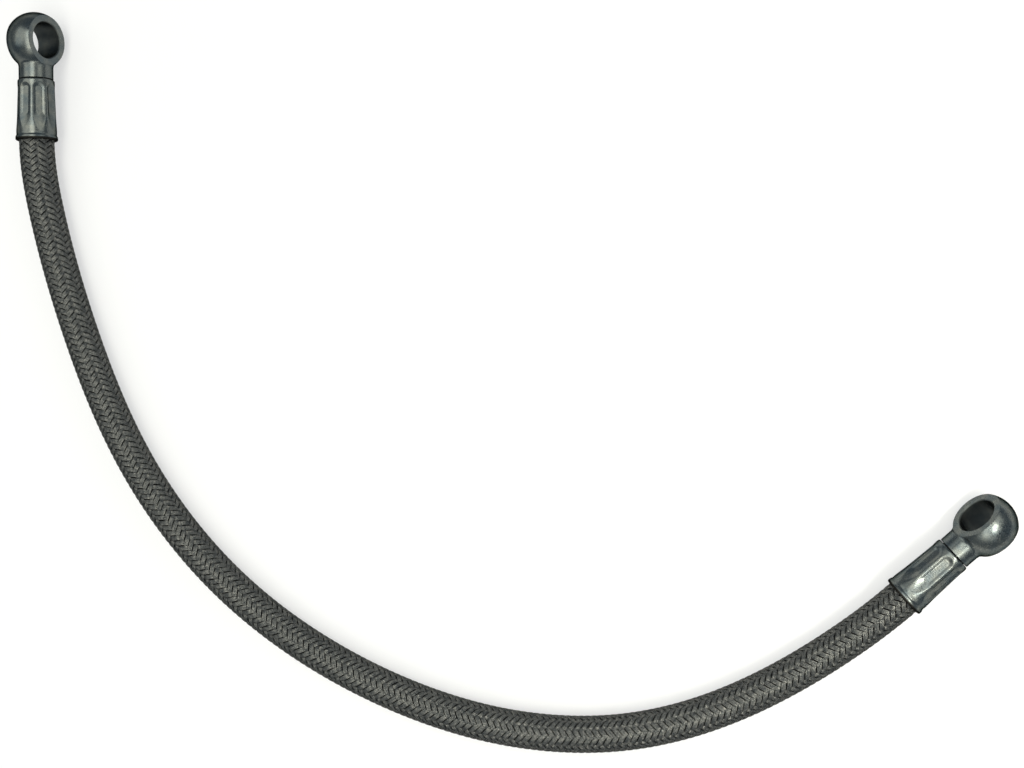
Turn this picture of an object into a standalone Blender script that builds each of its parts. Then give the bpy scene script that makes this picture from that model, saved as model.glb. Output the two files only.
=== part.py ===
# Diesel fuel hose: a rubber hose under a steel wire braid, with a crimped banjo eye at each end.
# Metres, +Z up. It lies on the floor, z = 0, in the easy bend that it comes to rest in.
# Each end has its own frame: +Z runs down the stem to the hose, +X along the eye's bore.

import math

import bmesh
import bpy
import numpy as np
from mathutils import Matrix, Vector

# Banjo eye, for an M14 hollow bolt
EYE_BORE = 0.0140
EYE_BALL = 0.0228
EYE_WIDTH = 0.0120
BORE_CHAMFER = 0.0004

# Banjo stem, with lengths along it from the eye's centre
NECK_DIA = 0.0134
NECK_FILLET = 0.0020
NECK_END = 0.0151
NECK_CHAMFER = 0.0003
GROOVE_DIA = 0.0104
SHOULDER_DIA = 0.0114
SHOULDER_LENGTH = 0.0012
TAIL_ROOT = 0.0066
TAIL_LENGTH = 0.0190
BARB_DIA = 0.0072
BARB_PITCH = 0.0056
BARBS = 3
PASSAGE_DIA = 0.0045

# Crimped ferrule, with lengths down from its top
FERRULE_LENGTH = 0.0241
FERRULE_TOP = 0.0142
FERRULE_MOUTH = 0.0157
COLLAR_THICKNESS = 0.0014
COLLAR_ROUND = 0.0007
LIP_DIA = 0.0163
LIP_LENGTH = 0.0022
LIP_ROUND = 0.0005
BELL_LENGTH = 0.0042

# Pockets pressed into the ferrule by the crimping jaws
POCKETS = 8
POCKET_START = 0.0016
POCKET_LENGTH = 0.0149
POCKET_DEPTH = 0.0008
POCKET_FLOOR = 0.0026
POCKET_FLANK = 0.0022
POCKET_RAMP = 0.0058

# Hose
HOSE_DIA = 0.0134
BRAID_THICKNESS = 0.0009
HOSE_BORE = 0.0075
CRIMPED_DIA = 0.0114

# Gap between touching pieces
FIT = 0.0003

# Where the eyes lie, which way each stem heads, how the eyes lean, and where the pockets stand
EYE_A = (-0.18324, 0.10527)
EYE_B = (0.18088, -0.08426)
HEADING_A = math.radians(-90.2)
HEADING_B = math.radians(-137.6)
STEM_FALL = math.radians(3.5)
LEAN_A = math.radians(70)
LEAN_B = math.radians(62.5)
POCKET_TURN_A = math.radians(36.5)
POCKET_TURN_B = math.radians(29)

# Route of the hose over the floor, between the mouths of the ferrules
ROUTE = [
    (-0.17964, 0.03777, 0.00750),
    (-0.17234, 0.01057, 0.00690),
    (-0.16314, -0.01613, 0.00680),
    (-0.15224, -0.04213, 0.00680),
    (-0.13874, -0.06693, 0.00680),
    (-0.12214, -0.08973, 0.00680),
    (-0.10264, -0.10993, 0.00680),
    (-0.08034, -0.12723, 0.00680),
    (-0.05604, -0.14143, 0.00680),
    (-0.03004, -0.15263, 0.00680),
    (-0.00294, -0.16033, 0.00680),
    (0.02486, -0.16373, 0.00680),
    (0.05296, -0.16213, 0.00680),
    (0.08016, -0.15503, 0.00680),
    (0.10596, -0.14323, 0.00690),
    (0.12976, -0.12833, 0.00750),
]

# Fineness
TURNED_STEPS = 40
BALL_STEPS = 12
ROUND_STEPS = 3
SLOT_END_STEPS = 6
SWEEP_SPACING = 0.0167
SWEEP_ROUNDNESS = 4
SHARP_ANGLE = math.radians(32)
WELD = 1e-7

# Sizes that follow from the others
BALL_RADIUS = EYE_BALL / 2
NECK_RADIUS = NECK_DIA / 2
FERRULE_START = NECK_END + FIT
MOUTH = FERRULE_START + FERRULE_LENGTH
SHOULDER_START = FERRULE_START + COLLAR_THICKNESS + FIT
TAIL_START = SHOULDER_START + SHOULDER_LENGTH
TAIL_END = TAIL_START + TAIL_LENGTH
HOSE_START = TAIL_START + FIT
CRIMP_END = MOUTH - BELL_LENGTH
FERRULE_BORE = CRIMPED_DIA + 2 * FIT
MOUTH_BORE = HOSE_DIA + 2 * FIT
LINER_DIA = HOSE_DIA - 2 * BRAID_THICKNESS - 2 * FIT
LINER_CRIMPED = CRIMPED_DIA - 2 * BRAID_THICKNESS - 2 * FIT
LINER_CRIMPED_BORE = BARB_DIA + 2 * FIT


def clear_scene():
    for old in list(bpy.data.objects):
        bpy.data.objects.remove(old, do_unlink=True)


def material(name, color, roughness, metallic):
    made = bpy.data.materials.new(name)
    made.use_nodes = True
    shader = made.node_tree.nodes["Principled BSDF"]
    shader.inputs["Base Color"].default_value = (*color, 1.0)
    shader.inputs["Roughness"].default_value = roughness
    shader.inputs["Metallic"].default_value = metallic
    return made


def add_object(name, mesh, finish=None, parent=None):
    made = bpy.data.objects.new(name, mesh)
    bpy.context.scene.collection.objects.link(made)
    if finish:
        mesh.materials.append(finish)
    made.parent = parent
    return made


def mesh_from(name, work):
    bmesh.ops.recalc_face_normals(work, faces=work.faces)
    mesh = bpy.data.meshes.new(name)
    work.to_mesh(mesh)
    work.free()
    mesh.shade_smooth()
    mesh.set_sharp_from_angle(angle=SHARP_ANGLE)
    return mesh


def turned(name, profile, closed):
    """A profile of (radius, height) points, turned about Z. A closed one makes a ring."""
    work = bmesh.new()
    verts = [work.verts.new((radius, 0, height)) for radius, height in profile]
    ends = zip(verts, verts[1:] + verts[:1]) if closed else zip(verts, verts[1:])
    edges = [work.edges.new(pair) for pair in ends]
    bmesh.ops.spin(
        work,
        geom=verts + edges,
        cent=(0, 0, 0),
        axis=(0, 0, 1),
        angle=2 * math.pi,
        steps=TURNED_STEPS,
        use_merge=True,
        use_duplicate=False,
    )
    bmesh.ops.remove_doubles(work, verts=work.verts, dist=WELD)
    return mesh_from(name, work)


def arc(centre, radius, start, end, steps):
    """Points of (radius, height) on an arc, with angles in degrees from the outward direction."""
    turns = np.radians(np.linspace(start, end, steps + 1))
    return [
        (centre[0] + radius * math.cos(a), centre[1] + radius * math.sin(a)) for a in turns
    ]


def end_frame(eye, heading, lean, side):
    """Matrix of an end: the stem falls to the hose, and the bore leans to one side of it."""
    stem = Vector((math.cos(heading), math.sin(heading), 0)) * math.cos(STEM_FALL)
    stem.z = -math.sin(STEM_FALL)
    sideways = Vector((-math.sin(heading), math.cos(heading), 0)) * side
    upward = stem.cross(sideways) * side
    bore = upward * math.cos(lean) + sideways * math.sin(lean)
    across = stem.cross(bore)
    turn = Matrix((bore, across, stem)).transposed().to_4x4()
    return Matrix.Translation((eye[0], eye[1], BALL_RADIUS)) @ turn


def cutter(name, mesh, parent):
    made = add_object(name, mesh, parent=parent)
    made.hide_render = True
    made.display_type = "WIRE"
    return made


def cut(target, tools):
    """Takes the tools out of the target, then marks the edges that they leave as sharp."""
    for tool in tools:
        modifier = target.modifiers.new(tool.name, "BOOLEAN")
        modifier.operation = "DIFFERENCE"
        modifier.object = tool
    bpy.context.view_layer.update()
    whole = target.evaluated_get(bpy.context.evaluated_depsgraph_get())
    mesh = bpy.data.meshes.new_from_object(whole)
    target.modifiers.clear()
    target.data = mesh
    mesh.shade_smooth()
    mesh.set_sharp_from_angle(angle=SHARP_ANGLE)


def banjo_profile():
    """Ball, fillet, neck, collar groove, shoulder and barbed tail, from pole to tail end."""
    # The fillet touches the ball and the neck, so its centre lies a fillet's radius off both.
    fillet_out = NECK_RADIUS + NECK_FILLET
    fillet_along = math.sqrt((BALL_RADIUS + NECK_FILLET) ** 2 - fillet_out**2)
    touch = math.degrees(math.atan2(fillet_along, fillet_out))
    points = arc((0, 0), BALL_RADIUS, -90, touch, BALL_STEPS)
    points[0] = (0, -BALL_RADIUS)
    points += arc((fillet_out, fillet_along), NECK_FILLET, touch - 180, -180, ROUND_STEPS)[1:]
    points += [
        (NECK_RADIUS, NECK_END - NECK_CHAMFER),
        (NECK_RADIUS - NECK_CHAMFER, NECK_END),
        (GROOVE_DIA / 2, NECK_END),
        (GROOVE_DIA / 2, SHOULDER_START),
        (SHOULDER_DIA / 2, SHOULDER_START),
        (SHOULDER_DIA / 2, TAIL_START),
        (TAIL_ROOT / 2, TAIL_START),
    ]
    # Each barb rises towards the eye and drops square, so that the hose can't slip back off it.
    for barb in range(BARBS):
        foot = TAIL_END - barb * BARB_PITCH
        points.insert(len(points) - 2 * barb, (BARB_DIA / 2, foot - BARB_PITCH))
        points.insert(len(points) - 2 * barb, (TAIL_ROOT / 2, foot))
    points.append((0, TAIL_END))
    return points


def eye_profile():
    """The eye's cutter, turned about the bore: bolt hole, chamfers and the two spot faces."""
    radius = EYE_BORE / 2
    face = EYE_WIDTH / 2
    past = BALL_RADIUS + FIT
    # The spot faces are as wide as the ball is there, and stop short of the neck's sides.
    spot = math.sqrt(BALL_RADIUS**2 - face**2) + FIT
    half = [
        (spot, past),
        (spot, face),
        (radius + BORE_CHAMFER, face),
        (radius, face - BORE_CHAMFER),
    ]
    mirrored = [(across, -along) for across, along in half]
    return [(0, -past), *mirrored, *reversed(half), (0, past)]


def make_banjo(name, finish, parent):
    banjo = add_object(name, turned(name, banjo_profile(), closed=False), finish, parent)
    eye = cutter(f"{name}_eye", turned("eye", eye_profile(), closed=False), parent)
    eye.rotation_euler = (0, math.pi / 2, 0)
    passage_radius = PASSAGE_DIA / 2
    drilled = [
        (0, 0),
        (passage_radius, 0),
        (passage_radius, TAIL_END + FIT),
        (0, TAIL_END + FIT),
    ]
    passage = cutter(f"{name}_passage", turned("passage", drilled, closed=False), parent)
    cut(banjo, (eye, passage))


def ferrule_radius(along):
    """Outer radius of the plain sleeve, at a length down from its top."""
    share = along / (FERRULE_LENGTH - LIP_LENGTH)
    return (FERRULE_TOP + (FERRULE_MOUTH - FERRULE_TOP) * share) / 2


def ferrule_profile():
    """Section of the sleeve: collar, tapering wall, flared lip and belled mouth."""
    hole = GROOVE_DIA / 2 + FIT
    lip = LIP_DIA / 2
    flare = FERRULE_LENGTH - LIP_LENGTH
    round_out = ferrule_radius(COLLAR_ROUND) - COLLAR_ROUND
    points = [(hole, COLLAR_THICKNESS), (hole, 0)]
    points += arc((round_out, COLLAR_ROUND), COLLAR_ROUND, -90, 0, ROUND_STEPS)
    points += [(ferrule_radius(flare), flare)]
    lip_centre = (lip - LIP_ROUND, FERRULE_LENGTH - LIP_ROUND)
    points += arc(lip_centre, LIP_ROUND, 0, 90, ROUND_STEPS)
    points += [
        (MOUTH_BORE / 2, FERRULE_LENGTH),
        (FERRULE_BORE / 2, FERRULE_LENGTH - BELL_LENGTH),
        (FERRULE_BORE / 2, COLLAR_THICKNESS),
    ]
    return points


def slot_outline(half_width, start, end):
    """Outline of a slot with round ends, as (along, across) points."""
    turns = np.linspace(-math.pi / 2, math.pi / 2, SLOT_END_STEPS + 1)
    far = [(end + half_width * math.cos(a), half_width * math.sin(a)) for a in turns]
    near = [(start - half_width * math.cos(a), -half_width * math.sin(a)) for a in turns]
    return far + near


def jaw_outline(lift):
    """Outline of a jaw's nose where it is this far above the crown of the sleeve."""
    floor_half = POCKET_FLOOR / 2
    first = POCKET_START + POCKET_FLANK + floor_half
    last = POCKET_START + POCKET_LENGTH - POCKET_FLANK - floor_half
    share = (POCKET_DEPTH + lift) / POCKET_DEPTH
    full_half = floor_half + POCKET_FLANK * share
    # The sides turn upright over the falling sides of the sleeve, clear of the next jaw.
    half = min(full_half, floor_half + POCKET_FLANK * (1 - FIT / POCKET_DEPTH))
    run_on = full_half - half
    ramp = (POCKET_RAMP - POCKET_FLANK) * share
    return slot_outline(half, first - run_on, last + run_on + ramp)


def press_jaws(turn):
    """The jaws' noses: a ring of round-ended wedges with flat floors that follow the taper."""
    lifts = (-POCKET_DEPTH, -FIT, FIT)
    outlines = [jaw_outline(lift) for lift in lifts]
    work = bmesh.new()
    for pocket in range(POCKETS):
        spin = Matrix.Rotation(turn + 2 * math.pi * pocket / POCKETS, 3, "Z")
        rings = []
        for outline, lift in zip(outlines, lifts):
            places = [(ferrule_radius(s) + lift, across, s) for s, across in outline]
            rings.append([work.verts.new(spin @ Vector(place)) for place in places])
        work.faces.new(rings[0])
        work.faces.new(rings[-1])
        for lower, upper in zip(rings, rings[1:]):
            for i, vert in enumerate(lower):
                before = i - 1
                work.faces.new((lower[before], vert, upper[i], upper[before]))
    return mesh_from("press_jaws", work)


def make_ferrule(name, turn, finish, parent):
    ferrule = add_object(name, turned(name, ferrule_profile(), closed=True), finish, parent)
    jaws = cutter(f"{name}_jaws", press_jaws(turn), parent)
    for piece in (ferrule, jaws):
        piece.location.z = FERRULE_START
    cut(ferrule, (jaws,))


def spline_through(points, start_slope, end_slope, spacing):
    """Cubic spline with even bending through the points, read at an even spacing."""
    places = np.array([tuple(point) for point in points])
    steps = np.linalg.norm(np.diff(places, axis=0), axis=1)
    count = len(places)
    system = np.zeros((count, count))
    wanted = np.zeros((count, 3))
    system[0, 0] = system[-1, -1] = 1
    wanted[0] = tuple(start_slope)
    wanted[-1] = tuple(end_slope)
    for i in range(1, count - 1):
        before, after = steps[i - 1], steps[i]
        system[i, i - 1 : i + 2] = (after, 2 * (before + after), before)
        rise_before = (places[i] - places[i - 1]) / before
        rise_after = (places[i + 1] - places[i]) / after
        wanted[i] = 3 * (after * rise_before + before * rise_after)
    slopes = np.linalg.solve(system, wanted)
    knots = np.concatenate([[0], np.cumsum(steps)])
    samples = np.linspace(0, knots[-1], 1 + max(8, round(knots[-1] / spacing)))
    spans = np.clip(np.searchsorted(knots, samples, side="right") - 1, 0, count - 2)
    length = steps[spans][:, None]
    t = ((samples - knots[spans]) / steps[spans])[:, None]
    return (
        (2 * t**3 - 3 * t**2 + 1) * places[spans]
        + (t**3 - 2 * t**2 + t) * length * slopes[spans]
        + (3 * t**2 - 2 * t**3) * places[spans + 1]
        + (t**3 - t**2) * length * slopes[spans + 1]
    )


def hose_path(frame_a, frame_b):
    """Centreline of the hose as (point, share of the way out of the crimp)."""

    def on_stem(frame, along):
        return frame @ Vector((0, 0, along))

    stem_a = frame_a.to_3x3() @ Vector((0, 0, 1))
    stem_b = frame_b.to_3x3() @ Vector((0, 0, 1))
    mouths = (on_stem(frame_a, MOUTH), on_stem(frame_b, MOUTH))
    free = spline_through([mouths[0], *ROUTE, mouths[1]], stem_a, -stem_b, SWEEP_SPACING)
    middle = (HOSE_START + CRIMP_END) / 2
    inside = [(HOSE_START, 0), (middle, 0), (CRIMP_END, 0)]
    path = [(on_stem(frame_a, along), share) for along, share in inside]
    path += [(Vector(point), 1) for point in free]
    path += [(on_stem(frame_b, along), share) for along, share in reversed(inside)]
    return path


def sweep(name, path, crimped_radius, free_radius, caps):
    """A round curve along the path, drawn in to the crimped radius inside the ferrules."""
    curve = bpy.data.curves.new(name, "CURVE")
    curve.dimensions = "3D"
    curve.bevel_depth = free_radius
    curve.bevel_resolution = SWEEP_ROUNDNESS
    curve.use_fill_caps = caps
    spline = curve.splines.new("POLY")
    spline.points.add(len(path) - 1)
    drawn_in = crimped_radius / free_radius
    for point, (place, share) in zip(spline.points, path):
        point.co = (*place, 1)
        point.radius = drawn_in + (1 - drawn_in) * share
    spline.use_smooth = True
    return curve


def make_braid(path, finish):
    """The braid is a curve with a wall, open at both ends for the liner and the tails."""
    curve = sweep("hose_braid", path, CRIMPED_DIA / 2, HOSE_DIA / 2, caps=False)
    braid = add_object("hose_braid", curve, finish)
    wall = braid.modifiers.new("wall", "SOLIDIFY")
    wall.thickness = BRAID_THICKNESS
    wall.offset = -1
    wall.use_even_offset = True


def swept_mesh(name, path, crimped_radius, free_radius):
    curve = sweep(name, path, crimped_radius, free_radius, caps=True)
    helper = add_object(name, curve)
    bpy.context.view_layer.update()
    graph = bpy.context.evaluated_depsgraph_get()
    mesh = bpy.data.meshes.new_from_object(helper.evaluated_get(graph))
    bpy.data.objects.remove(helper, do_unlink=True)
    work = bmesh.new()
    work.from_mesh(mesh)
    bmesh.ops.remove_doubles(work, verts=work.verts, dist=WELD)
    return mesh_from(name, work)


def make_liner(path, finish):
    """The rubber tube: its bore is cut along the same path, and runs out past both ends."""
    outside = swept_mesh("hose_liner", path, LINER_CRIMPED / 2, LINER_DIA / 2)
    liner = add_object("hose_liner", outside, finish)
    (first, _), (second, _) = path[:2]
    (last, _), (before, _) = path[-1], path[-2]
    overrun = 2 * FIT
    start = first + (first - second).normalized() * overrun
    end = last + (last - before).normalized() * overrun
    through = [(start, 0), *path, (end, 0)]
    bore_mesh = swept_mesh("liner_bore", through, LINER_CRIMPED_BORE / 2, HOSE_BORE / 2)
    cut(liner, (cutter("liner_bore", bore_mesh, None),))


def main():
    clear_scene()
    zinc = material("zinc_plated_steel", (0.42, 0.45, 0.44), 0.34, 1.0)
    wire = material("braided_steel_wire", (0.36, 0.35, 0.32), 0.42, 1.0)
    rubber = material("black_rubber", (0.02, 0.02, 0.02), 0.8, 0.0)
    frames = {
        "a": end_frame(EYE_A, HEADING_A, LEAN_A, 1),
        "b": end_frame(EYE_B, HEADING_B, LEAN_B, -1),
    }
    pocket_turns = {"a": POCKET_TURN_A, "b": POCKET_TURN_B}
    for tag, frame in frames.items():
        end = add_object(f"end_{tag}", None)
        end.matrix_world = frame
        make_banjo(f"banjo_{tag}", zinc, end)
        make_ferrule(f"ferrule_{tag}", pocket_turns[tag], zinc, end)
    path = hose_path(frames["a"], frames["b"])
    make_liner(path, rubber)
    make_braid(path, wire)


main()
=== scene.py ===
import math

import bpy
import numpy as np
from mathutils import Euler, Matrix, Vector


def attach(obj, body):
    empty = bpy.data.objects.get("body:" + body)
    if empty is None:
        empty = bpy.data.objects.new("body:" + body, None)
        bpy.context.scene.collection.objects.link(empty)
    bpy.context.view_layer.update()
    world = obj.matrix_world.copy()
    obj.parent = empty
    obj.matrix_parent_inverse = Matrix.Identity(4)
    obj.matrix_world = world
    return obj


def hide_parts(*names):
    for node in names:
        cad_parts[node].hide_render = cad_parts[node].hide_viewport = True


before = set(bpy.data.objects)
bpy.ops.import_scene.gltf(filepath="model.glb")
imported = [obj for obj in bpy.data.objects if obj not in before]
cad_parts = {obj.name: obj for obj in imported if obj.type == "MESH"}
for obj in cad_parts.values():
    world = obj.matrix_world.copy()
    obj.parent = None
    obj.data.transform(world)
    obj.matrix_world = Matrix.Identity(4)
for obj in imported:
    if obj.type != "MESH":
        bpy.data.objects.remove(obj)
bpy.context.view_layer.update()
print("Frame loaded: braided hose with two banjo ends")


# meshes from grids of points

closingStep = 0.0001         # texture length of the step from the last row back to the first


def gridQuads(rows, cols, closeRows, closeCols):
    # quads between neighbouring rows and columns, the last joined to the first where the grid closes
    r = np.arange(rows if closeRows else rows - 1)[:, None]
    c = np.arange(cols if closeCols else cols - 1)[None, :]
    nextRow, nextCol = (r + 1) % rows, (c + 1) % cols
    corners = (r * cols + c, nextRow * cols + c, nextRow * cols + nextCol, r * cols + nextCol)
    return np.stack(np.broadcast_arrays(*corners), -1).reshape(-1, 4)


def gridCorners(rows, cols, closeRows, closeCols, along):
    # texture place of every quad corner: the share of the way round, and the length along in metres
    r = np.arange(rows if closeRows else rows - 1)[:, None]
    c = np.arange(cols if closeCols else cols - 1)[None, :]
    steps = np.append(along, along[-1] + closingStep)
    u = [c + 0 * r, c + 0 * r, c + 1 + 0 * r, c + 1 + 0 * r]
    v = [r + 0 * c, r + 1 + 0 * c, r + 1 + 0 * c, r + 0 * c]
    uv = np.stack([np.stack(u, -1) / cols, steps[np.stack(v, -1)]], -1)
    return uv.reshape(-1, 2)


def surface(points, along, closeRows=False, closeCols=True, caps=False, **masks):
    # one grid of points, rows by columns, with its masks as arrays of the same rows and columns
    rows, cols = points.shape[:2]
    faces = gridQuads(rows, cols, closeRows, closeCols)
    uv = gridCorners(rows, cols, closeRows, closeCols, along)
    ends = [np.arange(cols)[::-1], (rows - 1) * cols + np.arange(cols)] if caps else []
    flat = {name: np.broadcast_to(mask, (rows, cols)).ravel() for name, mask in masks.items()}
    return {"points": points.reshape(-1, 3), "faces": faces, "uv": uv, "ends": ends, "masks": flat}


def makePiece(name, surfaces, material, sharpAngle=40):
    # joins the surfaces into one smooth-shaded object at the origin
    points = np.concatenate([part["points"] for part in surfaces])
    faces, uv, start = [], [], 0
    for part in surfaces:
        faces += (part["faces"] + start).tolist()
        uv.append(part["uv"])
        for end in part["ends"]:
            faces.append((end + start).tolist())
            uv.append(np.zeros((len(end), 2)))
        start += len(part["points"])
    mesh = bpy.data.meshes.new(name)
    mesh.from_pydata(points.tolist(), [], faces)
    mesh.uv_layers.new(name="UVMap").data.foreach_set("uv", np.concatenate(uv).ravel())
    for mask in surfaces[0]["masks"]:
        values = np.concatenate([part["masks"][mask] for part in surfaces]).astype(np.float32)
        mesh.attributes.new(mask, "FLOAT", "POINT").data.foreach_set("value", values)
    mesh.shade_smooth()
    mesh.set_sharp_from_angle(angle=math.radians(sharpAngle))
    mesh.materials.append(material)
    piece = bpy.data.objects.new(name, mesh)
    bpy.context.scene.collection.objects.link(piece)
    return piece


def smoothStep(x, low, high):
    # nought below low, one above high, and between them 3 t squared less 2 t cubed
    t = np.clip((x - low) / (high - low), 0, 1)
    return t * t * (3 - 2 * t)


def arcPoints(centre, radius, start, end, steps):
    # (out, along) points on an arc, with angles in degrees from the outward direction
    turns = np.radians(np.linspace(start, end, steps + 1))
    return np.stack([centre[0] + radius * np.cos(turns), centre[1] + radius * np.sin(turns)], -1)


def denser(profile, spacing):
    # the profile with points added on its long straight runs
    dense = [profile[:1]]
    for a, b in zip(profile[:-1], profile[1:]):
        steps = max(1, round(float(np.hypot(*(b - a))) / spacing))
        dense.append(a + (b - a) * (np.arange(1, steps + 1) / steps)[:, None])
    return np.concatenate(dense)


def lengthsAlong(profile):
    # the running sum of the distances from point to point
    return np.concatenate([[0], np.cumsum(np.hypot(*np.diff(profile, axis=0).T))])


# materials

def addNode(tree, kind, **values):
    # a node with its properties and unlinked inputs set by name
    node = tree.nodes.new(kind)
    for key, value in values.items():
        if hasattr(node, key):
            setattr(node, key, value)
        else:
            node.inputs[key.replace("_", " ")].default_value = value
    return node


def makeGroup(name, inputs, outputs):
    # an empty shader group with its sockets, and the nodes at its two ends
    group = bpy.data.node_groups.new(name, "ShaderNodeTree")
    for socket, value in inputs.items():
        kind = "NodeSocketColor" if isinstance(value, tuple) else "NodeSocketFloat"
        group.interface.new_socket(socket, in_out="INPUT", socket_type=kind).default_value = value
    for socket, kind in outputs.items():
        group.interface.new_socket(socket, in_out="OUTPUT", socket_type=kind)
    return group, group.nodes.new("NodeGroupInput"), group.nodes.new("NodeGroupOutput")


mottle = {
    "patchScale": 180.0,
    "fleckScale": 1400.0,
    "patchSpread": 0.35,     # share of the noise's range that is stretched to the full one
    "fleckSpread": 0.25,
    "detail": 4.0,
    "roughness": 0.6,
}


def makeMottleGroup(size):
    # soft patches on two scales, as handling leaves them on bare metal: a mask about one half
    group, given, out = makeGroup(
        "metalMottle",
        {"Patch Scale": size["patchScale"], "Fleck Scale": size["fleckScale"], "Contrast": 1.0},
        {"Patches": "NodeSocketFloat", "Flecks": "NodeSocketFloat"},
    )
    place = addNode(group, "ShaderNodeTexCoord")
    layers = (("Patch Scale", size["patchSpread"], "Patches"), ("Fleck Scale", size["fleckSpread"], "Flecks"))
    for scale, width, socket in layers:
        low, high = 0.5 - width / 2, 0.5 + width / 2
        noise = addNode(group, "ShaderNodeTexNoise", Detail=size["detail"], Roughness=size["roughness"])
        spread = addNode(group, "ShaderNodeMapRange", From_Min=low, From_Max=high)
        strength = addNode(group, "ShaderNodeMath", operation="MULTIPLY")
        group.links.new(place.outputs["Object"], noise.inputs["Vector"])
        group.links.new(given.outputs[scale], noise.inputs["Scale"])
        group.links.new(noise.outputs["Fac"], spread.inputs["Value"])
        group.links.new(spread.outputs["Result"], strength.inputs[0])
        group.links.new(given.outputs["Contrast"], strength.inputs[1])
        group.links.new(strength.outputs["Value"], out.inputs[socket])
    return group


def mixColor(tree, factor, first, second):
    # mixes two colours, each a fixed one or a socket, by a socket
    mix = addNode(tree, "ShaderNodeMix", data_type="RGBA")
    tree.links.new(factor, mix.inputs["Factor"])
    for socket, value in ((mix.inputs[6], first), (mix.inputs[7], second)):
        if isinstance(value, tuple):
            socket.default_value = (*value, 1.0)
        else:
            tree.links.new(value, socket)
    return mix.outputs[2]


def mapRange(tree, value, low, high, toLow, toHigh):
    # stretches a socket's range from low and high to the two new ends
    node = addNode(tree, "ShaderNodeMapRange", From_Min=low, From_Max=high, To_Min=toLow, To_Max=toHigh)
    tree.links.new(value, node.inputs["Value"])
    return node.outputs["Result"]


def maskSocket(tree, name):
    # a mask that the mesh carries as a point attribute
    return addNode(tree, "ShaderNodeAttribute", attribute_name=name).outputs["Fac"]


zincLook = {
    "pale": (0.178, 0.184, 0.166),
    "dull": (0.077, 0.098, 0.109),
    "stain": (0.106, 0.116, 0.116),
    "stainScale": 430.0,
    "stainShare": 0.55,
    # near-black of the painted shade in the bore, on the seams, the ferrule's lip and its inside
    "soot": (0.022, 0.021, 0.019),
    "roughness": (0.25, 0.33),
    "sootRoughness": 0.55,
    "turningMarks": 5200.0,  # turned lines to the metre
    "turningDetail": 2.0,
    "turningDepth": 0.000004,
    "grainDepth": 0.000001,
    "edgeTint": (0.06, 0.07, 0.08),
}


def makeZinc(mottleGroup, look):
    # satin zinc plating: mottled colour and gloss, fine turning marks along the profile, painted shade by
    # mask
    material = bpy.data.materials.new("zincPlatedSteel")
    material.use_nodes = True
    tree = material.node_tree
    shader = tree.nodes["Principled BSDF"]
    shader.inputs["Metallic"].default_value = 1.0
    shader.inputs["Specular Tint"].default_value = (*look["edgeTint"], 1.0)
    patches = addNode(tree, "ShaderNodeGroup", node_tree=mottleGroup)
    soot = maskSocket(tree, "soot")
    plated = mixColor(tree, patches.outputs["Patches"], look["pale"], look["dull"])
    stains = addNode(tree, "ShaderNodeGroup", node_tree=mottleGroup)
    stains.inputs["Patch Scale"].default_value = look["stainScale"]
    stains.inputs["Contrast"].default_value = look["stainShare"]
    plated = mixColor(tree, stains.outputs["Patches"], plated, look["stain"])
    # the mask paints shade: hollows, seams and the lip are darkened towards this colour, and made rougher
    tree.links.new(mixColor(tree, soot, plated, look["soot"]), shader.inputs["Base Color"])
    gloss = mapRange(tree, patches.outputs["Flecks"], 0, 1, *look["roughness"])
    dirty = addNode(tree, "ShaderNodeMix")
    tree.links.new(soot, dirty.inputs["Factor"])
    tree.links.new(gloss, dirty.inputs[2])
    dirty.inputs[3].default_value = look["sootRoughness"]
    tree.links.new(dirty.outputs[0], shader.inputs["Roughness"])
    # turning marks: noise that runs round the piece and changes only along its profile
    places = addNode(tree, "ShaderNodeUVMap", uv_map="UVMap")
    stretch = addNode(tree, "ShaderNodeVectorMath", operation="MULTIPLY")
    stretch.inputs[1].default_value = (1.0, look["turningMarks"], 0.0)
    marks = addNode(tree, "ShaderNodeTexNoise", Scale=1.0, Detail=look["turningDetail"])
    tree.links.new(places.outputs["UV"], stretch.inputs[0])
    tree.links.new(stretch.outputs["Vector"], marks.inputs["Vector"])
    turned = addNode(tree, "ShaderNodeBump", Distance=look["turningDepth"])
    tree.links.new(marks.outputs["Fac"], turned.inputs["Height"])
    grain = addNode(tree, "ShaderNodeBump", Distance=look["grainDepth"])
    tree.links.new(patches.outputs["Flecks"], grain.inputs["Height"])
    tree.links.new(turned.outputs["Normal"], grain.inputs["Normal"])
    tree.links.new(grain.outputs["Normal"], shader.inputs["Normal"])
    return material


wireLook = {
    "metallic": 0.9,
    "patchScale": 800.0,
    "fleckScale": 2600.0,
    "crest": (0.205, 0.204, 0.189),
    "dull": (0.064, 0.069, 0.071),
    # near-black of the painted shade in the creases between wires and where a strand dives under
    "wireShade": (0.009, 0.009, 0.009),
    "roughness": (0.22, 0.36),
    "wires": 4,              # side by side in one strand
    "wireDepth": 0.00012,
    "lineWidth": 0.45,       # how far up a wire's side the painted shade between two wires reaches
    "lineDark": 0.45,
    "edgeTint": (0.04, 0.04, 0.04),
}


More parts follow.
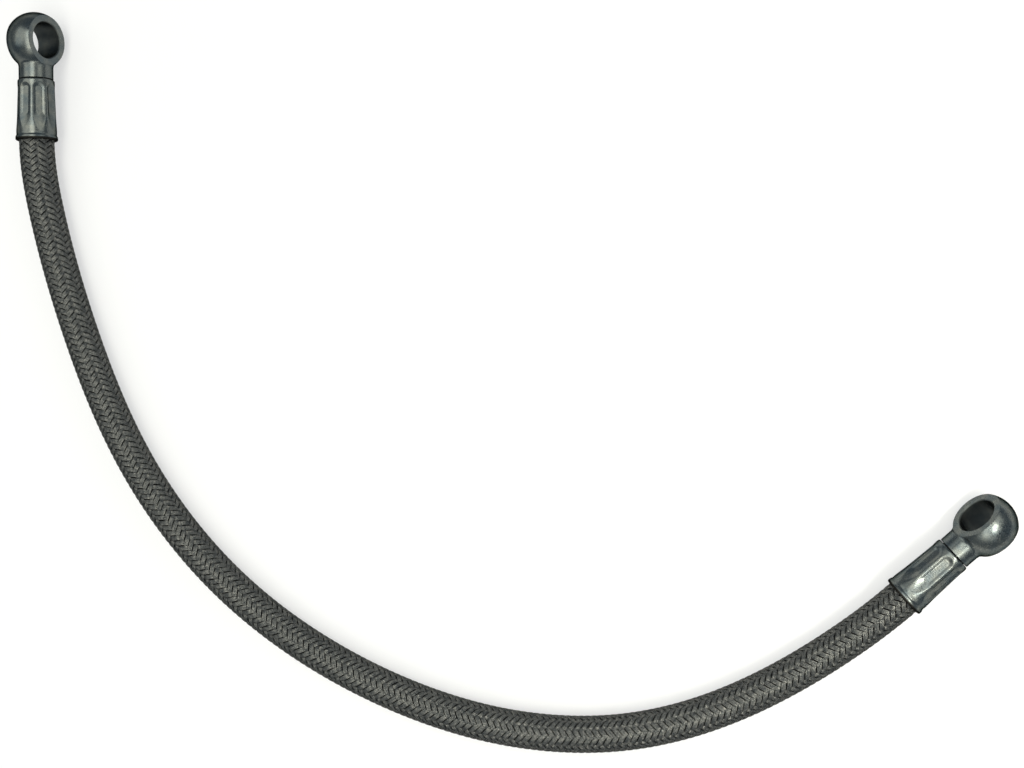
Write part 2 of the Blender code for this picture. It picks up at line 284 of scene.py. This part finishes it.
def makeWire(mottleGroup, look):
    # a flat strand of drawn wires side by side: ridges across its width, painted shade where it dives under
    material = bpy.data.materials.new("braidedSteelWire")
    material.use_nodes = True
    tree = material.node_tree
    shader = tree.nodes["Principled BSDF"]
    shader.inputs["Metallic"].default_value = look["metallic"]
    shader.inputs["Specular Tint"].default_value = (*look["edgeTint"], 1.0)
    patches = addNode(tree, "ShaderNodeGroup", node_tree=mottleGroup)
    patches.inputs["Patch Scale"].default_value = look["patchScale"]
    patches.inputs["Fleck Scale"].default_value = look["fleckScale"]
    bare = mixColor(tree, patches.outputs["Patches"], look["crest"], look["dull"])
    # the wires' ridges: the size of a sine, with one hump for each wire across the strand
    across = mapRange(tree, maskSocket(tree, "across"), 0, 1, 0, look["wires"] * math.pi)
    wave = addNode(tree, "ShaderNodeMath", operation="SINE")
    tree.links.new(across, wave.inputs[0])
    ridge = addNode(tree, "ShaderNodeMath", operation="ABSOLUTE")
    tree.links.new(wave.outputs["Value"], ridge.inputs[0])
    # painted shade in the creases between neighbouring wires
    gaps = mapRange(tree, ridge.outputs["Value"], 0.0, look["lineWidth"], look["lineDark"], 0.0)
    lined = mixColor(tree, gaps, bare, look["wireShade"])
    # painted shade: the strand is darkened where it dives under the crossing strands
    deep = maskSocket(tree, "deep")
    tree.links.new(mixColor(tree, deep, lined, look["wireShade"]), shader.inputs["Base Color"])
    gloss = mapRange(tree, patches.outputs["Flecks"], 0, 1, *look["roughness"])
    tree.links.new(gloss, shader.inputs["Roughness"])
    bump = addNode(tree, "ShaderNodeBump", Distance=look["wireDepth"])
    tree.links.new(ridge.outputs["Value"], bump.inputs["Height"])
    tree.links.new(bump.outputs["Normal"], shader.inputs["Normal"])
    return material


rubberLook = {
    "deep": (0.010, 0.010, 0.010),
    "pale": (0.022, 0.021, 0.019),
    "roughness": 0.8,
    "grain": 2200.0,
    "grainDetail": 3.0,
    "grainDepth": 0.00002,
}


def makeRubber(look):
    # dull black rubber with a fine grain
    material = bpy.data.materials.new("blackRubber")
    material.use_nodes = True
    tree = material.node_tree
    shader = tree.nodes["Principled BSDF"]
    shader.inputs["Roughness"].default_value = look["roughness"]
    place = addNode(tree, "ShaderNodeTexCoord")
    grain = addNode(tree, "ShaderNodeTexNoise", Scale=look["grain"], Detail=look["grainDetail"])
    tree.links.new(place.outputs["Object"], grain.inputs["Vector"])
    color = mixColor(tree, grain.outputs["Fac"], look["deep"], look["pale"])
    tree.links.new(color, shader.inputs["Base Color"])
    bump = addNode(tree, "ShaderNodeBump", Distance=look["grainDepth"])
    tree.links.new(grain.outputs["Fac"], bump.inputs["Height"])
    tree.links.new(bump.outputs["Normal"], shader.inputs["Normal"])
    return material


metalMottle = makeMottleGroup(mottle)
zincSteel = makeZinc(metalMottle, zincLook)
wireSteel = makeWire(metalMottle, wireLook)
rubber = makeRubber(rubberLook)
print("Materials ready: zinc plating, braided wire, rubber")


# where the ends lie

endPlaces = {
    "eyeHeight": 0.0114,
    "fall": math.radians(3.5),   # how far the stems dip from the eye to the hose
    "a": {
        "eye": (-0.18324, 0.10527),
        "heading": math.radians(-90.2),
        "lean": math.radians(70),
        "side": 1,
    },
    "b": {
        "eye": (0.18088, -0.08426),
        "heading": math.radians(-137.6),
        "lean": math.radians(62.5),
        "side": -1,
    },
}


def endAxes(tag):
    # the eye's centre, and the directions of its bore, across it, and down its stem to the hose
    end = endPlaces[tag]
    fall, lean, heading = endPlaces["fall"], end["lean"], end["heading"]
    level = np.array([math.cos(heading), math.sin(heading), 0.0])
    stem = level * math.cos(fall) - np.array([0, 0, math.sin(fall)])
    sideways = np.array([-math.sin(heading), math.cos(heading), 0.0]) * end["side"]
    upward = np.cross(stem, sideways) * end["side"]
    bore = upward * math.cos(lean) + sideways * math.sin(lean)
    eye = np.array([*end["eye"], endPlaces["eyeHeight"]])
    return {"eye": eye, "turn": np.stack([bore, np.cross(stem, bore), stem])}


def toEnd(points, axes):
    # points given along the bore, across it and down the stem, moved to their end
    return points @ axes["turn"] + axes["eye"]


ends = {tag: endAxes(tag) for tag in "ab"}


# banjo: eye, neck and barbed tail

banjo = {
    "bore": 0.0070,          # radius of the bolt hole
    "ball": 0.0114,
    "face": 0.0060,          # half the width between the two spot faces
    "chamfer": 0.0004,
    "edgeRound": 0.00015,
    "neck": 0.0067,
    "fillet": 0.0020,
    "step": 0.00006,         # the turned band stands this much below the fillet's end
    "neckEnd": 0.01525,
    "neckChamfer": 0.0002,
    "groove": 0.0052,
    "shoulder": 0.0057,
    "shoulderStart": 0.0171,
    "tailStart": 0.0183,
    "tailEnd": 0.0373,
    "tailRoot": 0.0033,
    "barb": 0.0036,
    "barbPitch": 0.0056,
    "barbs": 3,
    "root": 0.0079,          # the neck starts this far down, inside the ball
    "rootInset": 0.0012,
    "passage": 0.00225,
    "passageTop": 0.0112,
    "passageLead": 0.0002,
    "passageDepth": 0.004,
    "spotMargin": 0.0003,    # the milled faces reach this far past the ball
    "spotDepth": 0.00004,
    "boreShade": 0.56,          # how dark the painted shade on the bore's wall is
    "boreShadeEdge": 0.2,       # share of the chamfer that is painted as dark
    "seamShade": 0.8,         # how dark the painted shade on the neck's last edge is
    "seamWidth": 0.00018,
    "spacing": 0.00018,
    "eyeCoarse": 2,          # times the spacing
    "neckCoarse": 1.6,
    "edgeSteps": 4,
    "ballSteps": 34,
    "filletSteps": 12,
    "eyeSteps": 176,
    "neckSteps": 144,
}


def makeEye(axes, size):
    # a ring turned about the bore: wall, chamfer, flat face and ball, mirrored to the other side
    edgeOut = math.sqrt((size["ball"] - size["edgeRound"]) ** 2 - (size["face"] - size["edgeRound"]) ** 2)
    edgeCentre = (edgeOut, size["face"] - size["edgeRound"])
    edgeTurn = math.degrees(math.atan2(edgeCentre[1], edgeCentre[0]))
    half = np.concatenate([
        [(size["bore"], 0.0), (size["bore"], size["face"] - size["chamfer"])],
        [(size["bore"] + size["chamfer"], size["face"])],
        arcPoints(edgeCentre, size["edgeRound"], 90, edgeTurn, size["edgeSteps"]),
        arcPoints((0, 0), size["ball"], edgeTurn, 0, size["ballSteps"])[1:],
    ])
    half = denser(half, size["spacing"] * size["eyeCoarse"])
    profile = np.concatenate([half, (half * (1, -1))[-2:0:-1]])
    turns = np.linspace(0, 2 * math.pi, size["eyeSteps"], endpoint=False)
    out, along = profile[:, :1], profile[:, 1:]
    x, y, z = np.broadcast_arrays(along, -out * np.sin(turns), -out * np.cos(turns))
    # the fuel passage opens in the bore's wall on the stem's side: its points sink down the stem
    onWall = out < size["bore"] + size["chamfer"] / 40
    passage = onWall & (z > 0) & (np.hypot(x, y) < size["passage"])
    points = np.stack([x, y, z + np.where(passage, size["passageDepth"], 0)], -1)
    # painted shade: the bore's wall is darkened, and so is the very rim of its chamfer; the sunk passage is
    # painted black
    darkEnd = size["bore"] + size["boreShadeEdge"] * size["chamfer"]
    boreShaded = 1 - smoothStep(out, darkEnd, size["bore"] + size["chamfer"])
    soot = np.where(passage, 1, size["boreShade"] * boreShaded)
    return surface(toEnd(points, axes), lengthsAlong(profile), closeRows=True, soot=soot)


def makeNeck(axes, size):
    # turned about the stem: a closed ring from inside the ball over fillet, neck, groove and barbs
    filletOut = size["neck"] + size["fillet"]
    filletAlong = math.sqrt((size["ball"] + size["fillet"]) ** 2 - filletOut ** 2)
    touch = math.degrees(math.atan2(filletAlong, filletOut))
    inner, band = size["passage"], size["neck"] - size["step"]
    outside = [
        np.array([(inner + size["step"], size["root"]), (size["bore"] - size["rootInset"], size["root"])]),
        arcPoints((filletOut, filletAlong), size["fillet"], touch - 180, -180, size["filletSteps"]),
        np.array([
            (band, filletAlong + size["step"]),
            (band, size["neckEnd"] - size["neckChamfer"]),
            (band - size["neckChamfer"], size["neckEnd"]),
            (size["groove"], size["neckEnd"]),
            (size["groove"], size["shoulderStart"]),
            (size["shoulder"], size["shoulderStart"]),
            (size["shoulder"], size["tailStart"]),
            (size["tailRoot"], size["tailStart"]),
        ]),
    ]
    for barb in range(size["barbs"]):
        foot = size["tailEnd"] - (size["barbs"] - 1 - barb) * size["barbPitch"]
        start = foot - size["barbPitch"]
        outside.append(np.array([(size["barb"], start), (size["tailRoot"], foot)]))
    outside.append(np.array([
        (inner, size["tailEnd"]),
        (inner, size["passageTop"]),
        (inner + size["step"], size["passageTop"] - size["passageLead"]),
    ]))
    profile = denser(np.concatenate(outside), size["spacing"] * size["neckCoarse"])
    turns = np.linspace(0, 2 * math.pi, size["neckSteps"], endpoint=False)
    out, along = profile[:, :1], profile[:, 1:]
    x, y = out * np.cos(turns), out * np.sin(turns)
    z = along + 0 * turns
    # the spot faces are milled a little past the ball, so they cut into the neck's sides
    spot = math.sqrt(size["ball"] ** 2 - size["face"] ** 2) + size["spotMargin"]
    fromBore = np.hypot(y, z)
    milled = size["face"] - size["spotDepth"]
    x = np.where(fromBore < spot, np.clip(x, -milled, milled), x)
    # painted shade: a dark line on the neck's last edge, where it meets the ferrule's collar
    soot = size["seamShade"] * smoothStep(z, size["neckEnd"] - size["seamWidth"], size["neckEnd"])
    points = toEnd(np.stack([x, y, z], -1), axes)
    return surface(points, lengthsAlong(profile), closeRows=True, soot=soot)


for tag, axes in ends.items():
    piece = makePiece(f"banjoEnd_{tag}", [makeEye(axes, banjo), makeNeck(axes, banjo)], zincSteel)
    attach(piece, "root")
    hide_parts(f"banjo_{tag}")
print("Banjo ends made")


# crimped ferrule

ferrule = {
    "start": 0.0154,         # from the eye's centre
    "length": 0.0241,
    "top": 0.0071,
    "mouth": 0.00785,
    "collar": 0.0014,
    "collarRound": 0.0007,
    "hole": 0.0055,
    "bore": 0.0060,
    "mouthBore": 0.0070,
    "bell": 0.0042,
    "lip": 0.00815,
    "lipLength": 0.0022,
    "lipRound": 0.0006,
    "beadStart": 0.0001,     # before the lip's length begins
    "beadEnd": 0.0009,
    "valley": 0.00009,
    "valleyWidth": 0.0007,
    "lipShade": (0.0010, 0.0008),     # from the mouth, where the lip's painted shade begins and is full
    # how dark the painted shade on the collar's edge is
    "seamShade": 0.8,
    "seamWidth": (0.0001, 0.0003),   # from the collar's end, where its painted shade begins to fade and ends
    "pockets": 8,
    "pocketTurn": {"a": math.radians(36.5), "b": math.radians(29)},
    "pocketStart": 0.0016,
    "pocketLength": 0.0149,
    "pocketDepth": 0.0008,
    "pocketFloor": 0.0026,
    "pocketFlank": 0.0022,
    "pocketRamp": 0.0058,
    "pocketBlunt": 1.5,      # the flank is this much steeper at the collar's end
    "soften": 0.00010,
    "roundSteps": 7,
    "insideSpacing": 0.0012,
    "rows": 150,
    "steps": 256,
}


def sleeveRadius(along, size):
    # a straight taper from the top to the lip, a shallow valley, then a rolled bead out to the lip
    flare = size["length"] - size["lipLength"]
    plain = size["top"] + (size["mouth"] - size["top"]) * np.minimum(along / flare, 1)
    bead = smoothStep(along, flare - size["beadStart"], flare + size["beadEnd"])
    valley = size["valley"] * np.exp(-(((along - flare) / size["valleyWidth"]) ** 2))
    return plain + (size["lip"] - size["mouth"]) * bead - valley


def pocketShare(along, across, size):
    # height up a jaw's flank, nought on its flat floor and one where the flank meets the sleeve's crown
    half, flank = size["pocketFloor"] / 2, size["pocketFlank"]
    first = size["pocketStart"] + (flank + half) / size["pocketBlunt"]
    last = size["pocketStart"] + size["pocketLength"] - flank - half
    before = size["pocketBlunt"] * np.maximum(first - along, 0)
    side = (np.hypot(across, before) - half) / flank
    # past the floor the round end of the slot slides on down the ramp as it rises
    past = np.maximum(along - last, 0)
    slide = size["pocketRamp"] - flank
    slow = slide**2 - flank**2
    halfSum = past * slide + half * flank
    end = (halfSum - np.sqrt(np.maximum(halfSum**2 - slow * (across**2 + past**2 - half**2), 0))) / slow
    return np.maximum(np.where((along > last) & (past > slide * end), end, side), 0)


def softMinimum(a, b, width):
    # the smaller of the two, rounded where they cross
    return (a + b - np.sqrt((a - b) ** 2 + width**2)) / 2


def pressedWall(along, turn, pocketTurn, size):
    # the sleeve's round wall, cut by the flat-floored jaw that is nearest round it
    spacing = 2 * math.pi / size["pockets"]
    turn = (turn - pocketTurn + spacing / 2) % spacing - spacing / 2
    plain = sleeveRadius(along, size)
    share = pocketShare(along, plain * np.sin(turn), size)
    jaw = (plain - size["pocketDepth"] * (1 - share)) / np.cos(turn)
    return softMinimum(plain + 0 * turn, jaw, size["soften"])


def makeSleeve(axes, pocketTurn, size):
    # a closed ring down the stem: collar's round, pressed wall, lip's round, then back through the bore
    lipTop = size["length"] - size["lipRound"]
    along = np.linspace(size["collarRound"], lipTop, size["rows"])[:, None]
    turns = np.linspace(0, 2 * math.pi, size["steps"], endpoint=False)[None, :]
    wall = pressedWall(along, turns, pocketTurn, size)
    roundOut = size["top"] - size["collarRound"]
    collar = arcPoints((roundOut, size["collarRound"]), size["collarRound"], -90, 0, size["roundSteps"])[:-1]
    lipCentre = (size["lip"] - size["lipRound"], lipTop)
    lip = arcPoints(lipCentre, size["lipRound"], 0, 90, size["roundSteps"])[1:]
    inside = denser(np.array([
        (size["mouthBore"], size["length"]),
        (size["bore"], size["length"] - size["bell"]),
        (size["bore"], size["collar"]),
        (size["hole"], size["collar"]),
        (size["hole"], 0.0),
    ]), size["insideSpacing"])
    parts = [collar, None, lip, inside]
    rows = [wall if part is None else part[:, :1] + 0 * turns for part in parts]
    heights = [along if part is None else part[:, 1:] for part in parts]
    radius, height = np.concatenate(rows), np.concatenate(heights)
    radius = np.broadcast_to(radius, (len(height), size["steps"]))
    fromEye = height + size["start"] + 0 * turns
    points = np.stack([radius * np.cos(turns), radius * np.sin(turns), fromEye], -1)
    profile = np.concatenate([radius[:, :1], height], -1)
    outer = len(collar) + size["rows"]
    row = np.arange(len(height))[:, None]
    # painted shade: the lip darkens towards the mouth, the collar's edge is dark, and the whole inside is
    # black
    lipDark = smoothStep(height, *(size["length"] - np.array(size["lipShade"])))
    seamDark = size["seamShade"] * (1 - smoothStep(height, *size["seamWidth"]))
    soot = np.where(row < outer, np.maximum(lipDark, seamDark), 1.0)
    return surface(toEnd(points, axes), lengthsAlong(profile), closeRows=True, soot=soot)


for tag, axes in ends.items():
    sleeve = makeSleeve(axes, ferrule["pocketTurn"][tag], ferrule)
    piece = makePiece(f"crimpedFerrule_{tag}", [sleeve], zincSteel, sharpAngle=50)
    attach(piece, "root")
    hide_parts(f"ferrule_{tag}")
print("Crimped ferrules made")


# hose

hose = {
    "diameter": 0.0134,
    "route": [
        (-0.17964, 0.03777, 0.00750),
        (-0.17234, 0.01057, 0.00690),
        (-0.16314, -0.01613, 0.00680),
        (-0.15224, -0.04213, 0.00680),
        (-0.13874, -0.06693, 0.00680),
        (-0.12214, -0.08973, 0.00680),
        (-0.10264, -0.10993, 0.00680),
        (-0.08034, -0.12723, 0.00680),
        (-0.05604, -0.14143, 0.00680),
        (-0.03004, -0.15263, 0.00680),
        (-0.00294, -0.16033, 0.00680),
        (0.02486, -0.16373, 0.00680),
        (0.05296, -0.16213, 0.00680),
        (0.08016, -0.15503, 0.00680),
        (0.10596, -0.14323, 0.00690),
        (0.12976, -0.12833, 0.00750),
    ],
    "mouth": 0.0395,         # from the eye's centre, down the stem
    "tuck": 0.0030,          # the modelled braid runs this far into the ferrule
    "drawnIn": 0.90,         # share of its free radius inside a ferrule
    "drawStart": 0.0005,
    "tuckSteps": 7,
    "sample": 0.0005,
    "pathStep": 8,           # samples between the points of the path that is handed on
}


def splineThrough(points, startSlope, endSlope, spacing):
    # cubic spline with even bending: each slope balances the rises on its two sides
    places = np.array(points, float)
    steps = np.linalg.norm(np.diff(places, axis=0), axis=1)
    rises = np.diff(places, axis=0) / steps[:, None]
    system = np.eye(len(places))
    inner = np.arange(1, len(places) - 1)
    system[inner, inner - 1] = steps[1:]
    system[inner, inner] = 2 * (steps[:-1] + steps[1:])
    system[inner, inner + 1] = steps[:-1]
    wanted = np.zeros_like(places)
    wanted[0], wanted[-1] = startSlope, endSlope
    wanted[1:-1] = 3 * (steps[1:, None] * rises[:-1] + steps[:-1, None] * rises[1:])
    slopes = np.linalg.solve(system, wanted)
    knots = np.concatenate([[0], np.cumsum(steps)])
    samples = np.linspace(0, knots[-1], 1 + round(knots[-1] / spacing))
    spans = np.clip(np.searchsorted(knots, samples, side="right") - 1, 0, len(steps) - 1)
    length = steps[spans][:, None]
    t = ((samples - knots[spans]) / steps[spans])[:, None]
    return (
        (2 * t**3 - 3 * t**2 + 1) * places[spans]
        + (t**3 - 2 * t**2 + t) * length * slopes[spans]
        + (3 * t**2 - 2 * t**3) * places[spans + 1]
        + (t**3 - t**2) * length * slopes[spans + 1]
    )


def onStem(tag, along):
    # the point this far down an end's stem from the eye's centre
    return ends[tag]["eye"] + ends[tag]["turn"][2] * along


def makeCentreline(size):
    # from just inside one ferrule's mouth to just inside the other's
    route = [onStem("a", size["mouth"]), *size["route"], onStem("b", size["mouth"])]
    free = splineThrough(route, ends["a"]["turn"][2], -ends["b"]["turn"][2], size["sample"])
    inside = np.linspace(size["mouth"] - size["tuck"], size["mouth"], size["tuckSteps"])[:-1, None]
    return np.concatenate([
        ends["a"]["eye"] + ends["a"]["turn"][2] * inside,
        free,
        (ends["b"]["eye"] + ends["b"]["turn"][2] * inside)[::-1],
    ])


centreline = makeCentreline(hose)
stations = np.concatenate([[0], np.cumsum(np.linalg.norm(np.diff(centreline, axis=0), axis=1))])
headings = np.gradient(centreline, stations, axis=0)
headings /= np.linalg.norm(headings, axis=1)[:, None]
sideways = np.cross(headings, (0, 0, 1))
sideways /= np.linalg.norm(sideways, axis=1)[:, None]
upwards = np.cross(sideways, headings)


def onHose(along, turn, radius):
    # a point at a length along the hose, an angle round it from its side, and a radius
    def at(values):
        return np.stack([np.interp(along, stations, values[:, i]) for i in range(3)], -1)

    turn, radius = turn[..., None], radius[..., None]
    return at(centreline) + radius * (np.cos(turn) * at(sideways) + np.sin(turn) * at(upwards))


def squeeze(along):
    # share of the free radius: the braid is drawn in where it runs into the ferrules
    inA = smoothStep(along, -hose["drawStart"], hose["tuck"])
    inB = smoothStep(stations[-1] - along, -hose["drawStart"], hose["tuck"])
    return hose["drawnIn"] + (1 - hose["drawnIn"]) * np.minimum(inA, inB)


core = {"radius": 0.00585, "rows": 420, "steps": 28}


def makeCore(size):
    # a round tube carried along the centre line, closed at both ends
    along = np.linspace(0, stations[-1], size["rows"])[:, None]
    turns = np.linspace(0, 2 * math.pi, size["steps"], endpoint=False)[None, :]
    points = onHose(along + 0 * turns, turns + 0 * along, size["radius"] * squeeze(along) + 0 * turns)
    return makePiece("hoseCore", [surface(points[:, ::-1], along[:, 0], caps=True)], rubber)


braid = {
    "carriers": 12,          # strands each way
    "pitch": 0.0300,
    "middle": 0.00634,       # radius of the woven surface
    "rise": 0.00023,         # half of what a strand climbs between under and over
    "width": 0.00178,
    "waist": 0.80,           # share of its width where a strand dives under
    "thickness": 0.00032,
    "dome": 0.00013,
    "arch": 1.6,
    "phase": 0.08,           # turns the whole weave round the hose
    "samples": 4,            # rows between crossings
    "wobble": 0.00003,
    "wobbleWaves": (210, 470),
    "wobbleShift": 2.3,
    "deep": (-0.05, 0.7),    # how low a strand is where its painted shade begins and is full
    # the section: a domed top of five points and a flat underside of two
    "sectionAcross": (-0.5, -0.27, 0.0, 0.27, 0.5, 0.36, -0.36),
    "sectionDome": (0.0, 0.8, 1.0, 0.8, 0.0, 0.0, 0.0),
    "sectionWall": (0.25, 0.5, 0.5, 0.5, 0.25, -0.5, -0.5),
}


def makeStrand(number, hand, size, seed):
    # a flat strand on a helix, over two and under two: its height follows a rounded wave
    crossing = size["pitch"] / (2 * size["carriers"])
    count = round(stations[-1] / crossing * size["samples"])
    along = np.linspace(0, stations[-1], count + 1)
    place = along / crossing
    # the crossing at the middle of a float moves by two from strand to strand, one way for each hand
    crest = 0.5 - 2 * number if hand > 0 else 2 * number - 2.5
    wave = np.cos((place - crest) * math.pi / 2)
    height = np.tanh(size["arch"] * wave) / math.tanh(size["arch"])
    start = 2 * math.pi * number / size["carriers"] + size["phase"]
    turn = hand * 2 * math.pi * along / size["pitch"] + start
    radius = (size["middle"] + size["rise"] * height) * squeeze(along)
    steep = math.atan(2 * math.pi * size["middle"] / size["pitch"])
    slow, quick = size["wobbleWaves"]
    sway = np.sin(along * slow + seed) + np.sin(along * quick + size["wobbleShift"] * seed)
    section = np.array(size["sectionAcross"])
    lift = np.array(size["sectionDome"]) * size["dome"] + np.array(size["sectionWall"]) * size["thickness"]
    narrow = size["waist"] + (1 - size["waist"]) * (height + 1) / 2
    offset = section * size["width"] * narrow[:, None] + size["wobble"] * sway[:, None]
    points = onHose(
        along[:, None] - hand * offset * math.sin(steep),
        turn[:, None] + offset * math.cos(steep) / size["middle"],
        radius[:, None] + lift,
    )
    deep = smoothStep(-height, *size["deep"])[:, None] + 0 * offset
    across = section + 0.5 + 0 * offset
    return surface(points, along / math.cos(steep), caps=True, deep=deep, across=across)


wobbleSeed = 1.7             # sets one strand's wobble apart from the next one's
hoseCore = makeCore(core)
strandPieces = []
for hand, side in ((1, "Right"), (-1, "Left")):
    for first in (0, 1):
        numbers = range(first, braid["carriers"], 2)
        strands = [makeStrand(number, hand, braid, number * wobbleSeed + hand) for number in numbers]
        strandPieces.append(makePiece(f"braid{side}_{first + 1}", strands, wireSteel, sharpAngle=70))
for piece in (hoseCore, *strandPieces):
    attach(piece, "root")
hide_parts("hose_liner")
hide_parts("hose_braid")


# floor, light and camera

stage = {
    "floorColor": (0.86, 0.86, 0.86),
    "floorWhite": 0.55,       # how far the floor is drawn to white, for the eye and in the metal
    "floorHalf": 50.0,
    "worldColor": (0.43, 0.51, 0.58),
    "worldStrength": 0.55,
    "lights": {               # place, aim, width and height, power, spread in degrees
        "ceilingStrip": ((-0.22, -0.50, 3.00), (-0.22, -0.50, 0.0), (1.36, 4.20), 70.0, 180),
        "leftBox": ((-0.86, 0.21, 0.86), (-0.10, 0.00, 0.0), (1.20, 0.75), 4.4, 180),
        "rightBox": ((0.75, -0.20, 1.20), (0.45, -0.10, 0.0), (0.90, 0.35), 2.2, 44),
        "backBox": ((0.70, 0.42, 0.80), (-0.10, 0.05, 0.0), (0.90, 0.60), 1.0, 120),
        "frontBox": ((0.12, -0.86, 0.84), (0.05, -0.10, 0.0), (1.30, 0.50), 2.3, 180),
    },
    "lampColor": (1.0, 0.975, 0.86),
}
view = {
    "lens": 52.73,
    "sensor": 36.0,
    "nearest": 0.01,
    "place": (0.08331, -0.05405, 0.57282),
    "turn": (math.radians(2.20), math.radians(7.62), 0.0),
}


def makeFloor():
    # one wide square at the height on which the hose lies
    mesh = bpy.data.meshes.new("floor")
    half = stage["floorHalf"]
    corners = [(-half, -half, 0), (half, -half, 0), (half, half, 0), (-half, half, 0)]
    mesh.from_pydata(corners, [], [(0, 1, 2, 3)])
    material = bpy.data.materials.new("paleFloor")
    material.use_nodes = True
    tree = material.node_tree
    shader = tree.nodes["Principled BSDF"]
    shader.inputs["Base Color"].default_value = (*stage["floorColor"], 1.0)
    shader.inputs["Roughness"].default_value = 1.0
    shader.inputs["Specular IOR Level"].default_value = 0.0
    # the background's white: seen directly, in gloss and through glass, with the shadow kept
    path = addNode(tree, "ShaderNodeLightPath")
    seen = addNode(tree, "ShaderNodeMath", operation="ADD")
    tree.links.new(path.outputs["Is Camera Ray"], seen.inputs[0])
    tree.links.new(path.outputs["Is Glossy Ray"], seen.inputs[1])
    through = addNode(tree, "ShaderNodeMath", operation="ADD", use_clamp=True)
    tree.links.new(seen.outputs["Value"], through.inputs[0])
    tree.links.new(path.outputs["Is Transmission Ray"], through.inputs[1])
    share = addNode(tree, "ShaderNodeMath", operation="MULTIPLY")
    tree.links.new(through.outputs["Value"], share.inputs[0])
    share.inputs[1].default_value = stage["floorWhite"]
    white = addNode(tree, "ShaderNodeEmission", Strength=1.0)
    blend = addNode(tree, "ShaderNodeMixShader")
    tree.links.new(share.outputs["Value"], blend.inputs["Fac"])
    tree.links.new(shader.outputs["BSDF"], blend.inputs[1])
    tree.links.new(white.outputs["Emission"], blend.inputs[2])
    tree.links.new(blend.outputs["Shader"], tree.nodes["Material Output"].inputs["Surface"])
    mesh.materials.append(material)
    floor = bpy.data.objects.new("floor", mesh)
    bpy.context.scene.collection.objects.link(floor)


def makeLights():
    # an even blue-grey world, and cream area lamps that show as bands in the metal
    world = bpy.data.worlds.new("studio")
    world.use_nodes = True
    bpy.context.scene.world = world
    background = world.node_tree.nodes["Background"]
    background.inputs["Color"].default_value = (*stage["worldColor"], 1.0)
    background.inputs["Strength"].default_value = stage["worldStrength"]
    for name, (place, aim, (width, height), power, spread) in stage["lights"].items():
        lamp = bpy.data.lights.new(name, "AREA")
        lamp.shape = "RECTANGLE"
        lamp.size, lamp.size_y = width, height
        lamp.energy = power
        lamp.spread = math.radians(spread)
        lamp.color = stage["lampColor"]
        holder = bpy.data.objects.new(name, lamp)
        bpy.context.scene.collection.objects.link(holder)
        holder.location = place
        holder.rotation_euler = (Vector(aim) - Vector(place)).to_track_quat("-Z", "Y").to_euler()


def makeCamera():
    # nearly straight above, as in the photo
    data = bpy.data.cameras.new("camera")
    data.lens = view["lens"]
    data.sensor_width = view["sensor"]
    data.clip_start = view["nearest"]
    camera = bpy.data.objects.new("camera", data)
    bpy.context.scene.collection.objects.link(camera)
    camera.location = view["place"]
    camera.rotation_euler = Euler(view["turn"])
    bpy.context.scene.camera = camera


makeFloor()
makeLights()
makeCamera()
bpy.context.scene.view_settings.view_transform = "Standard"
print("Floor, lights and camera ready")
